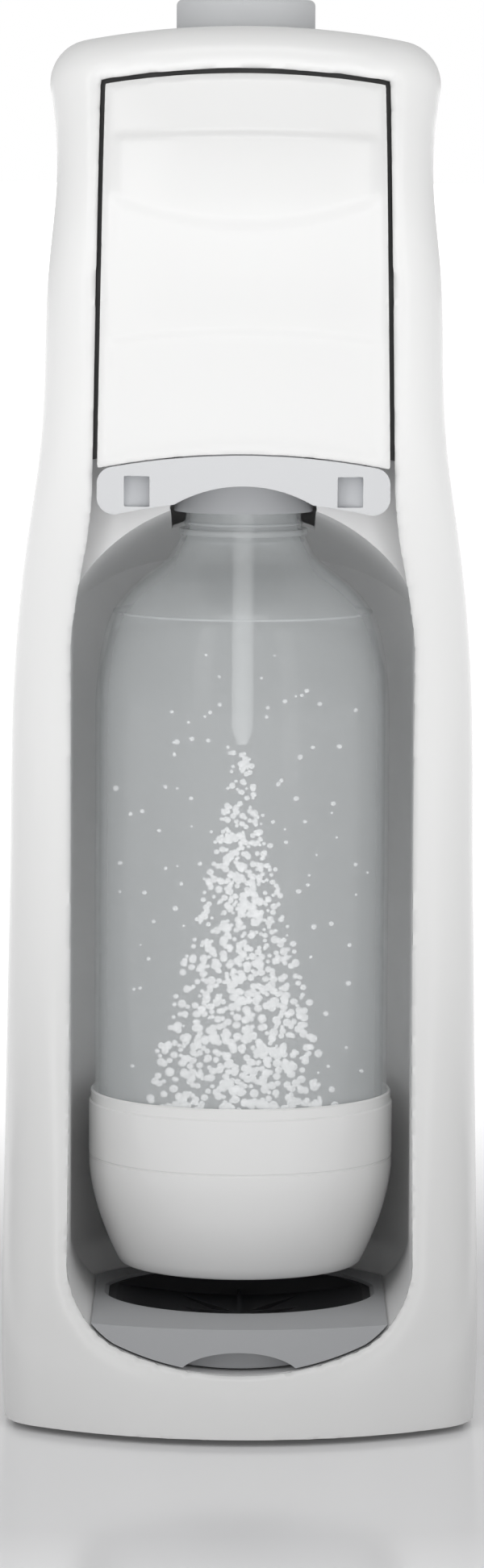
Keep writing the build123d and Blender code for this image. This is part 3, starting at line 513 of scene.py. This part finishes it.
# ---- studio ---------------------------------------------------------------------------------
@dataclass
class Studio:
    """White floor and surroundings, soft boxes and the camera."""

    floor_size: float = 60.0
    camera_place: Vector = field(default_factory=lambda: Vector((0.0, -2.0, 0.39)))
    lens: float = 152.15
    pitch: float = 5.876
    roll: float = 0.3
    sensor: float = 36.0
    haze_span: tuple[float, float] = (0.22, 0.9)
    haze_near: float = 0.06
    side_span: tuple[float, float] = (0.25, 0.9)
    side_colour: Point = (0.3, 0.3, 0.31)
    world_strength: float = 0.58

    def build(self) -> None:
        """Makes the floor, world, lights and camera."""
        self.floor()
        self.world()
        self.lights()
        self.camera()

    def floor(self) -> None:
        """Adds the pale, faintly polished floor, which fades to white with distance."""
        deselect()
        bpy.ops.mesh.primitive_plane_add(size=self.floor_size, location=(0, 0, 0))
        floor = bpy.context.object
        floor.name = "studio_floor"
        kit = Nodes("studio_floor")
        kit.feed(Base_Color=kit.tint(kit.noise(3.0), (0.93, 0.93, 0.94), (0.95, 0.95, 0.955)))
        reach = kit.add("VectorMath", Vector=kit.place)
        reach.operation = "LENGTH"
        haze = kit.ramp(reach.outputs["Value"], self.haze_near, 1.0, self.haze_span)
        kit.feed(Roughness=0.16, IOR=1.35, Emission_Color=(1, 1, 1, 1), Emission_Strength=haze)
        floor.data.materials.append(kit.material)

    def panel(self, name: str, place: Point, size: tuple[float, float], power: float, aim: Point) -> None:
        """Adds a soft box.

        Args:
            name: the lamp's name.
            place: where it hangs.
            size: width and height in metres.
            power: its power in watts.
            aim: the point it faces.
        """
        bpy.ops.object.light_add(type="AREA", location=place)
        lamp = bpy.context.object
        lamp.name = f"studio_{name}"
        lamp.data.shape = "RECTANGLE"
        lamp.data.size, lamp.data.size_y = size
        lamp.data.energy = power
        lamp.rotation_euler = (Vector(aim) - Vector(place)).to_track_quat("-Z", "Y").to_euler()

    def world(self) -> None:
        """Adds the world: bright all round, darker to the sides, and plain white to the camera."""
        world = bpy.data.worlds.new("studio")
        bpy.context.scene.world = world
        world.use_nodes = True
        tree = world.node_tree
        place = tree.nodes.new("ShaderNodeTexCoord").outputs["Generated"]
        split = tree.nodes.new("ShaderNodeSeparateXYZ")
        tree.links.new(place, split.inputs[0])
        side = tree.nodes.new("ShaderNodeMath")
        side.operation = "ABSOLUTE"
        tree.links.new(split.outputs["X"], side.inputs[0])
        ramp = tree.nodes.new("ShaderNodeValToRGB")
        tree.links.new(side.outputs[0], ramp.inputs["Fac"])
        ramp.color_ramp.elements[0].position = self.side_span[0]
        ramp.color_ramp.elements[0].color = (1, 1, 1, 1)
        ramp.color_ramp.elements[1].position = self.side_span[1]
        ramp.color_ramp.elements[1].color = (*self.side_colour, 1)
        background = tree.nodes["Background"]
        tree.links.new(ramp.outputs["Color"], background.inputs["Color"])
        background.inputs["Strength"].default_value = self.world_strength
        seen = tree.nodes.new("ShaderNodeBackground")
        seen.inputs["Strength"].default_value = 1.0
        seen.inputs["Color"].default_value = (1, 1, 1, 1)
        mix = tree.nodes.new("ShaderNodeMixShader")
        tree.links.new(tree.nodes.new("ShaderNodeLightPath").outputs["Is Camera Ray"], mix.inputs[0])
        tree.links.new(background.outputs[0], mix.inputs[1])
        tree.links.new(seen.outputs[0], mix.inputs[2])
        tree.links.new(mix.outputs[0], tree.nodes["World Output"].inputs["Surface"])

    def lights(self) -> None:
        """Adds the soft boxes."""
        self.panel("key", (-0.8, -1.3, 0.8), (0.4, 1.2), 2.2, (0, -0.05, 0.22))
        self.panel("fill", (0.9, -1.2, 0.6), (0.35, 1.2), 1.2, (0, -0.05, 0.2))
        self.panel("top", (0.0, -0.75, 1.5), (0.9, 0.35), 2.2, (0, -0.08, 0.3))

    def camera(self) -> None:
        """Adds the camera: far off, a little above the head, tilted down."""
        bpy.ops.object.camera_add(location=self.camera_place)
        camera = bpy.context.object
        camera.name = "studio_camera"
        camera.data.lens = self.lens
        camera.data.sensor_width = self.sensor
        tilt = Matrix.Rotation(math.radians(90 - self.pitch), 4, "X")
        lean = Matrix.Rotation(math.radians(self.roll), 4, "Z")
        camera.matrix_world = Matrix.Translation(self.camera_place) @ tilt @ lean
        bpy.context.scene.camera = camera
        bpy.context.scene.view_settings.view_transform = "Standard"


# ---- housing ----------------------------------------------------------------------------------
@dataclass
class Shell:
    """The front frame and rear cover, with the rounded edges that a moulding has."""

    frame: dict
    detail: int = 8
    bay_roll: float = 7.0 * MM
    head_roll: float = 3.4 * MM
    roll_depth: float = 2.7 * MM
    skin_back: float = 30 * MM
    side_normal: float = 0.04

    def build(self) -> None:
        """Makes the front frame and the rear cover."""
        self.front()
        self.rear()

    def front(self) -> None:
        """Rounds the front frame towards its opening."""
        piece = copy_of("front_frame", self.frame)
        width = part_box("bay_liner")[1].x + 2 * MM
        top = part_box("head_cover")[1].z + 5 * MM
        tree = edge_tree(
            piece,
            lambda mid, a, b: mid.y < self.skin_back and abs(mid.x) < width and 10 * MM < mid.z < top
            and min(a.y, b.y) < FORWARD and min(abs(a.y), abs(b.y)) < self.side_normal,
            0.6 * MM,
        )
        bpy.data.objects.remove(piece)
        piece = copy_of("front_frame", self.frame, self.detail)
        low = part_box("head_lip")[0].z - 26 * MM
        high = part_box("head_lip")[0].z - 4 * MM

        def depth(co: Vector, normal: Vector) -> float:
            """Rounds the skin near the opening, widely in the bay and tightly at the head."""
            if co.y > self.skin_back or normal.y > BACKWARD:
                return 0.0
            reach = self.bay_roll + (self.head_roll - self.bay_roll) * ease(co.z, low, high)
            return roll(tree.find(co)[2], reach, self.roll_depth)

        push(piece, depth)
        modify(piece, "SMOOTH", factor=0.5, iterations=2)
        smooth(piece, 60)
        finished(piece, "front_frame_shell", Finish.WHITE_GLOSS, "housing", ["front_frame"])

    def rear(self) -> None:
        """Gives the rear cover a soft edge."""
        piece = copy_of("rear_cover", self.frame, self.detail)
        modify(piece, "SMOOTH", factor=0.4, iterations=2)
        smooth(piece, 60)
        finished(piece, "rear_cover_shell", Finish.WHITE_GLOSS, "rear_cover", ["rear_cover"])


@dataclass
class Head:
    """The face panel with its oval bulge, and the lip under it with its pockets."""

    frame: dict
    detail: int = 7
    bulge: float = 2.0 * MM
    waist: float = 0.9 * MM
    rim: float = 2.4 * MM
    rim_depth: float = 2.0 * MM
    rim_fade: float = 6 * MM
    lower_rim: float = 0.8 * MM
    half_width: float = 41 * MM
    shelf_drop: float = 0.155
    shelf_arch: float = 0.012
    shelf_step: float = 0.55
    oval_rise: float = 0.61
    oval_arch: float = 0.075
    crease_rise: float = 0.35
    crease_arch: float = 0.03
    crease_return: float = 0.9
    side_normal: float = 0.05
    window_x: float = 30.9 * MM
    window_z: float = 8.5 * MM
    pocket_back: float = 12.0 * MM
    pocket_size: Point = (10 * MM, 4 * MM, 12.5 * MM)

    def build(self) -> None:
        """Makes the panel and the lip."""
        self.panel()
        self.lip()

    def relief(self, x: float, z: float, low: float, high: float) -> float:
        """How far the panel's surface stands out at a place.

        Args:
            x: across.
            z: height.
            low: the panel's lowest height.
            high: its highest.

        Returns:
            The distance towards the front in metres.
        """
        tall = high - low
        across = (x / self.half_width) ** 2
        shelf = high - self.shelf_drop * tall - self.shelf_arch * tall * across
        oval = low + self.oval_rise * tall + self.oval_arch * tall * across
        crease = low + self.crease_rise * tall - self.crease_arch * tall * across
        out = self.bulge * ease(z, oval - 1.2 * MM, oval + 3.4 * MM)
        out -= self.shelf_step * self.bulge * ease(z, shelf - 1.0 * MM, shelf + 2.0 * MM)
        out += self.waist * (ease(z, crease - 0.7 * MM, crease + 0.9 * MM) - 1)
        out -= self.waist * self.crease_return * ease(z, crease + 2 * MM, oval - 1 * MM)
        return out

    def panel(self) -> None:
        """Models the face from the CAD's panel, with its relief and rounded rim."""
        sharp = copy_of("head_cover", self.frame)
        tree = edge_tree(
            sharp,
            lambda mid, a, b: min(a.y, b.y) < FORWARD and min(abs(a.y), abs(b.y)) < self.side_normal,
            0.4 * MM,
        )
        bpy.data.objects.remove(sharp)
        low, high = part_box("head_cover")
        piece = copy_of("head_cover", self.frame, self.detail)

        def depth(co: Vector, normal: Vector) -> float:
            """Adds the relief, faded out at the rim, and rounds the rim."""
            if normal.y > BACKWARD:
                return 0.0
            distance = tree.find(co)[2]
            keep = ease(distance, 0.0, self.rim_fade) * ease(co.z, low.z + 1 * MM, low.z + 5 * MM)
            upper = co.z > low.z + self.rim_fade or abs(co.x) > high.x - 2 * MM
            edge = self.rim if upper else self.lower_rim
            out = self.relief(co.x, co.z, low.z, high.z) * keep
            return roll(distance, edge, min(edge, self.rim_depth)) - out

        push(piece, depth)
        modify(piece, "SMOOTH", factor=0.5, iterations=2)
        smooth(piece, 60)
        finished(piece, "face_panel", Finish.WHITE_GLOSS, "housing", ["head_cover"])

    def lip(self) -> None:
        """Models the grey lip with softened edges, and the pocket behind each window."""
        piece = copy_of("head_lip", self.frame, self.detail)
        modify(piece, "SMOOTH", factor=0.4, iterations=2)
        smooth(piece, 50)
        finished(piece, "face_lip", Finish.LIP_GREY, "housing", ["head_lip"])
        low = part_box("head_lip")[0]
        for name, side in (("left", -1), ("right", 1)):
            self.pocket(f"lip_pocket_{name}", side * self.window_x, low)

    def pocket(self, name: str, x: float, low: Vector) -> None:
        """Models the rounded pocket behind one window of the lip.

        Args:
            name: the piece's name.
            x: the window's middle.
            low: the lip's lowest corner.
        """
        deselect()
        place = (x, low.y + self.pocket_back, low.z + self.window_z)
        bpy.ops.mesh.primitive_cube_add(size=1, location=place)
        piece = bpy.context.object
        piece.scale = self.pocket_size
        bpy.ops.object.transform_apply(location=True, scale=True)
        bpy.ops.object.mode_set(mode="EDIT")
        bpy.ops.mesh.select_all(action="DESELECT")
        mesh = bmesh.from_edit_mesh(piece.data)
        for face in mesh.faces:
            face.select = face.normal.y < -0.5
        bmesh.update_edit_mesh(piece.data)
        bpy.ops.mesh.inset(thickness=1.2 * MM)
        bpy.ops.transform.translate(value=(0, 3.0 * MM, 0))
        bpy.ops.mesh.select_all(action="SELECT")
        bpy.ops.mesh.subdivide(number_cuts=1)
        bpy.ops.object.mode_set(mode="OBJECT")
        modify(piece, "BEVEL", width=0.5 * MM, segments=2)
        modify(piece, "SUBSURF", levels=2, render_levels=2)
        smooth(piece)
        # The pocket takes the darkened holder grey: painted shade behind the window.
        finished(piece, name, Finish.HOLDER_GREY, "housing")


@dataclass
class Bay:
    """The vaulted ceiling over the bottle's shoulder and its fascia behind the lip."""

    centre_z: float = 218 * MM
    arch: float = 57.5 * MM
    fascia: float = 26 * MM
    slot: float = 21.5 * MM
    spread: float = 68.0
    bow: float = 17 * MM
    fascia_share: float = 0.25
    closing: float = 0.8
    lip_depth: float = 14 * MM
    rear_wall: float = 2.4 * MM
    side_wall: float = 2.3 * MM

    def build(self) -> None:
        """Makes the vault."""
        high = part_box("bay_liner")[1]
        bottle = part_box("bottle")
        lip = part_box("head_lip")
        front = lip[0].y + self.lip_depth
        depth = high.y - self.rear_wall - front
        half = high.x - self.side_wall
        deselect()
        bpy.ops.mesh.primitive_grid_add(x_subdivisions=96, y_subdivisions=64, size=2, location=(0, 0, 0))
        piece = bpy.context.object
        for vertex in piece.data.vertices:
            angle = math.radians(90 - self.spread * vertex.co.x)
            along = (vertex.co.y + 1) / 2
            rear = max(0.0, (along - self.fascia_share) / (1 - self.fascia_share))
            radius = self.arch + self.fascia * max(0.0, 1 - along / self.fascia_share)
            shrink = math.sqrt(1 - (self.closing * rear) ** 2)
            vertex.co = (
                max(-half, min(half, radius * math.cos(angle) * (0.5 + 0.5 * shrink))),
                front + depth * rear + self.bow * (1 - rear) * (math.cos(angle) * radius / half) ** 2,
                min(lip[1].z - 2 * MM, self.centre_z + radius * math.sin(angle) * shrink),
            )
        self.cut_slot(piece, (bottle[0].y + bottle[1].y) / 2 + self.slot)
        modify(piece, "SOLIDIFY", thickness=1.0 * MM, offset=1.0)
        smooth(piece, 40)
        # The vault takes the mid-grey white: painted shade in the bay.
        finished(piece, "bay_vault", Finish.WHITE_SATIN, "housing")

    def cut_slot(self, piece: bpy.types.Object, back: float) -> None:
        """Cuts the slot that the bottle holder swings through.

        Args:
            piece: the vault.
            back: the slot's rear end.
        """
        pick(piece)
        bpy.ops.object.mode_set(mode="EDIT")
        across, along = (1, 0, 0), (0, 1, 0)
        cuts = (((-self.slot, 0, 0), across), ((self.slot, 0, 0), across), ((0, back, 0), along))
        for place, normal in cuts:
            bpy.ops.mesh.select_all(action="SELECT")
            bpy.ops.mesh.bisect(plane_co=place, plane_no=normal)
        bpy.ops.mesh.select_all(action="DESELECT")
        mesh = bmesh.from_edit_mesh(piece.data)
        for face in mesh.faces:
            spot = face.calc_center_median()
            face.select = abs(spot.x) < self.slot and spot.y < back
        bmesh.update_edit_mesh(piece.data)
        bpy.ops.mesh.delete(type="FACE")
        bpy.ops.object.mode_set(mode="OBJECT")


@dataclass
class PressSpring:
    """The coil spring under the button, which shortens as the button goes down."""

    frame: dict
    stroke: float = 8 * MM

    def build(self) -> None:
        """Makes the spring between the button and its guide."""
        piece = copy_of("button_spring", self.frame)
        smooth(piece, 60)
        finished(piece, "press_spring", Finish.STEEL, "housing", ["button_spring"])
        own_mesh(piece)


# ---- bottle -----------------------------------------------------------------------------------
@dataclass
class BottleDetails:
    """The neck rings of the bottle, its water, bubbles, fill line and base cup."""

    wall: float = 1.2 * MM
    ring_pitch: float = 2.6 * MM
    ring_radius: float = 0.55 * MM
    heel_height: float = 33 * MM
    water_share: float = 0.79
    bubbles: int = 1500
    strays: int = 120
    seed: int = 7
    crowding: float = 0.6
    plume_start: float = 3.5 * MM
    plume_spread: float = 30 * MM
    plume_full: float = 0.85
    plume_curve: float = 1.25
    cup_wall: float = 1.35 * MM
    band_drop: float = 3.7 * MM
    seam_drop: float = 19.7 * MM
    facet_turn: float = 30
    facet_width: float = 14.9
    facet_depth: float = 0.22 * MM

    def __post_init__(self) -> None:
        """Reads the bottle's place from the frame."""
        self.low, self.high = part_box("bottle")
        self.radius = self.high.x
        self.axis = (0.0, (self.low.y + self.high.y) / 2)
        self.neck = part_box("bottle_seal")[1].x + 0.4 * MM
        self.fill_z = self.low.z + self.water_share * (self.high.z - self.low.z)
        self.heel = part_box("base_cup")[0].z + self.heel_height

    def build(self) -> None:
        """Makes every piece of the bottle."""
        self.rings()
        self.water()
        self.plume()
        self.fill_line()
        self.cup()

    def rings(self) -> None:
        """Puts the moulded rings round the neck."""
        deselect()
        start = self.high.z - 17.6 * MM
        bpy.ops.mesh.primitive_torus_add(
            major_radius=self.neck + 0.15 * MM,
            minor_radius=self.ring_radius,
            major_segments=96,
            minor_segments=10,
            location=(*self.axis, start),
        )
        piece = bpy.context.object
        for index in range(1, 3):
            copy = piece.copy()
            copy.data = piece.data.copy()
            copy.location.z = start - index * self.ring_pitch
            copy.scale = (1 + 0.012 * index, 1 + 0.012 * index, 1)
            bpy.context.scene.collection.objects.link(copy)
            copy.select_set(True)
        piece.select_set(True)
        bpy.context.view_layer.objects.active = piece
        bpy.ops.object.join()
        smooth(piece, 60)
        finished(piece, "neck_rings", Finish.CLEAR_PET, "bottle")

    def side(self, z: float) -> float:
        """The bottle's outer radius at a height under its shoulder's top."""
        if z < self.heel:
            return self.radius - 9 * MM * ((self.heel - z) / (self.heel - self.low.z)) ** 2
        shoulder = self.high.z - 75 * MM
        return self.radius - 5.6 * MM * max(0.0, (z - shoulder) / (31 * MM)) ** 2.2

    def water(self) -> None:
        """Fills the bottle to the water level, just clear of its wall."""
        gap = self.wall + 0.25 * MM
        count = 26
        floor = self.low.z + gap
        heights = [floor + (self.fill_z - floor) * (i / count) for i in range(count + 1)]
        rings = [(self.side(z) - gap, z) for z in heights]
        rings[0] = (self.radius - 11 * MM, floor)
        rings.append((self.side(self.fill_z) - gap - 1.2 * MM, self.fill_z - 0.5 * MM))
        piece = lathe(self.axis, rings, 128)
        smooth(piece, 50)
        finished(piece, "water", Finish.WATER, "bottle")

    def plume(self) -> None:
        """Scatters the bubbles that stream down and out from the tube's tip."""
        draw = random.Random(self.seed)
        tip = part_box("tube_tip")[0].z - 2 * MM
        floor = self.low.z + 14 * MM
        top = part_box("base_cup")[1].z
        deselect()
        bpy.ops.mesh.primitive_ico_sphere_add(subdivisions=2, radius=1.0, location=(0, 0, 0))
        seed = bpy.context.object
        bpy.ops.object.shade_smooth()
        made = []

        def bubble(x: float, y: float, z: float, size: float) -> None:
            """Places one bubble, a little flattened."""
            copy = seed.copy()
            copy.data = seed.data.copy()
            squash = draw.uniform(0.8, 1.0)
            shape = Matrix.Diagonal((size, size, size * squash, 1))
            copy.matrix_world = Matrix.Translation((x, y, z)) @ shape
            bpy.context.scene.collection.objects.link(copy)
            made.append(copy)

        for _ in range(self.bubbles):
            along = draw.random() ** self.crowding
            z = tip + (floor - tip) * along
            share = min(1.0, along / self.plume_full) ** self.plume_curve
            spread = self.plume_start + self.plume_spread * share
            angle = draw.uniform(0, 2 * math.pi)
            reach = spread * math.sqrt(draw.random())
            size = draw.uniform(0.55, 1.25) * MM * (0.8 + 0.5 * along)
            x, y = self.axis[0] + reach * math.cos(angle), self.axis[1] + reach * math.sin(angle)
            bubble(x, y, z, size)
        for _ in range(self.strays):
            z = draw.uniform(top, self.fill_z - 6 * MM)
            angle = draw.uniform(0, 2 * math.pi)
            reach = draw.uniform(10, self.radius / MM - 5) * MM
            bubble(
                self.axis[0] + reach * math.cos(angle),
                self.axis[1] + reach * math.sin(angle),
                z,
                draw.uniform(0.35, 0.9) * MM,
            )
        bpy.data.objects.remove(seed)
        deselect()
        for copy in made:
            copy.select_set(True)
        bpy.context.view_layer.objects.active = made[0]
        bpy.ops.object.join()
        finished(made[0], "bubbles", Finish.BUBBLE, "bottle")

    def fill_line(self) -> None:
        """Adds the moulded line that marks how far to fill."""
        z = self.fill_z + 6 * MM
        radius = self.side(z)
        rings = [(radius - 0.3 * MM, z - 0.5 * MM), (radius + 0.35 * MM, z - 0.25 * MM)]
        rings += [(radius + 0.3 * MM, z + 0.3 * MM), (radius - 0.6 * MM, z + 0.5 * MM)]
        rings.append(rings[0])
        piece = lathe(self.axis, rings, 128)
        smooth(piece, 60)
        finished(piece, "fill_line", Finish.CLEAR_PET, "bottle")

    def cup(self) -> None:
        """Models the base cup with its rolled rim, bands and shallow facets."""
        low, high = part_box("base_cup")
        outer = high.x
        inner = outer - self.cup_wall
        seam = high.z - self.seam_drop
        band = high.z - self.band_drop
        rings = [(inner, high.z - 1.2 * MM), (inner, high.z - 0.5 * MM), (inner + 0.4 * MM, high.z)]
        rings += [(outer - 0.9 * MM, high.z), (outer - 0.5 * MM, high.z - 0.5 * MM)]
        rings += [(outer - 0.5 * MM, band + 0.5 * MM), (outer - 0.05 * MM, band)]
        rings += [(outer, band - 1 * MM), (outer, seam + 0.4 * MM), (outer - 0.35 * MM, seam + 0.1 * MM)]
        rings += [(outer - 0.35 * MM, seam - 0.3 * MM), (outer - 0.1 * MM, seam - 0.6 * MM)]
        drop = seam - low.z
        for step in range(1, 13):
            part = step / 12
            rings.append((outer - 9.2 * MM * part ** 1.75, seam - 0.6 * MM - (drop - 1.4 * MM) * part))
        rings += [(outer - 9.9 * MM, low.z + 0.25 * MM), (outer - 11 * MM, low.z), (outer - 20 * MM, low.z)]
        rings += [(outer - 22 * MM, low.z + 1 * MM), (outer - 22 * MM, low.z + 1.6 * MM)]
        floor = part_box("bottle")[0].z
        rings.append((inner - 9 * MM, low.z + 1.6 * MM))
        for step in range(1, 9):
            part = step / 8
            tuck = 9.0 * MM * (1 - part) ** 1.8
            rings.append((inner - tuck, floor - 0.1 * MM + (self.heel - floor) * part))
        rings.append(rings[0])
        piece = lathe(self.axis, rings, 144)
        self.facets(piece, outer, band - 1.5 * MM, seam + 1 * MM)
        smooth(piece, 28)
        finished(piece, "base_cup_shell", Finish.WHITE_GLOSS, "bottle", ["base_cup"])

    def facets(self, piece: bpy.types.Object, outer: float, top: float, bottom: float) -> None:
        """Presses shallow grip facets into the cup's upper band.

        Args:
            piece: the cup.
            outer: the cup's outer radius.
            top: the facets' upper height.
            bottom: their lower height.
        """
        for vertex in piece.data.vertices:
            x, y = vertex.co.x, vertex.co.y - self.axis[1]
            if bottom - 1 * MM < vertex.co.z < top + 1.2 * MM and math.hypot(x, y) > outer - 0.2 * MM:
                turn = (math.degrees(math.atan2(x, y)) + TURN) % self.facet_turn
                inset = self.facet_depth if turn < self.facet_width else 0.0
                scale = (outer - inset) / outer
                vertex.co.x, vertex.co.y = x * scale, y * scale + self.axis[1]


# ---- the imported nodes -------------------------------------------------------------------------
def dress_nodes(frame: dict) -> None:
    """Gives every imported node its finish, by the record's material slot.
    """
    finishes = {finish.value.name: finish for finish in Finish}
    for entry in frame["record"]["subparts"]:
        node = frame["nodes"][entry["node"]]
        node.data.materials.clear()
        node.data.materials.append(finishes[entry["material_slot"]].build())
        log.info("node %s dressed as %s", entry["node"], entry["material_slot"])


def main() -> None:
    """Builds the scene in order."""
    logging.basicConfig(level=logging.INFO, format="%(message)s")
    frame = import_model()
    dress_nodes(frame)
    Shell(frame).build()
    Head(frame).build()
    Bay().build()
    PressSpring(frame).build()
    BottleDetails().build()
    Studio().build()


if __name__ == "__main__":
    main()
